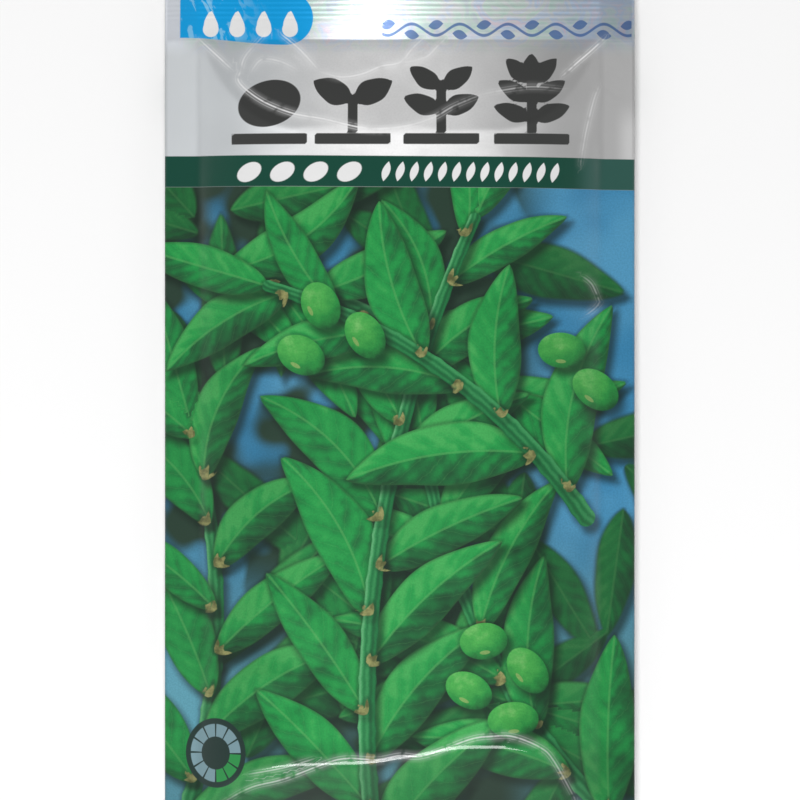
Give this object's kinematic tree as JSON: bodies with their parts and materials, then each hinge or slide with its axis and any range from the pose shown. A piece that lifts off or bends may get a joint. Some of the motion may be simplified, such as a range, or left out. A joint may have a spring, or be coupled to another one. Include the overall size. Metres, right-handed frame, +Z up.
{
  "type": "seed packet",
  "caption": "Flat film seed packet, heat-sealed on all four sides and puffed in the middle, with dry beans for sowing inside.",
  "frame": {"origin": "on the surface that the packet's back rests on, under the middle of its outline", "axes": "+X to the right across the width, +Y towards the packet's top end along its length, +Z up, from the back film to the printed front film"},
  "size_m": [0.096, 0.172, 0.012],
  "materials": {
    "printed_front_film": "glossy printed laminate film, silver ground, lightly creased",
    "printed_back_film": "glossy silver-white laminate film with a small green and grey print",
    "dry_bean": "smooth dry seed coat, satin"
  },
  "bodies": {
    "root": {"front_film": "printed_front_film", "back_film": "printed_back_film", "bean_01": "dry_bean", "bean_02": "dry_bean", "bean_03": "dry_bean", "bean_04": "dry_bean", "bean_05": "dry_bean", "bean_06": "dry_bean", "bean_07": "dry_bean", "bean_08": "dry_bean", "bean_09": "dry_bean", "bean_10": "dry_bean", "bean_11": "dry_bean", "bean_12": "dry_bean", "bean_13": "dry_bean", "bean_14": "dry_bean", "bean_15": "dry_bean", "bean_16": "dry_bean", "bean_17": "dry_bean", "bean_18": "dry_bean", "bean_19": "dry_bean", "bean_20": "dry_bean", "bean_21": "dry_bean", "bean_22": "dry_bean", "bean_23": "dry_bean", "bean_24": "dry_bean", "bean_25": "dry_bean", "bean_26": "dry_bean", "bean_27": "dry_bean", "bean_28": "dry_bean", "bean_29": "dry_bean", "bean_30": "dry_bean", "bean_31": "dry_bean", "bean_32": "dry_bean", "bean_33": "dry_bean", "bean_34": "dry_bean", "bean_35": "dry_bean", "bean_36": "dry_bean", "bean_37": "dry_bean", "bean_38": "dry_bean", "bean_39": "dry_bean", "bean_40": "dry_bean", "bean_41": "dry_bean", "bean_42": "dry_bean", "bean_43": "dry_bean", "bean_44": "dry_bean", "bean_45": "dry_bean", "bean_46": "dry_bean", "bean_47": "dry_bean", "bean_48": "dry_bean"}
  },
  "joints": []
}
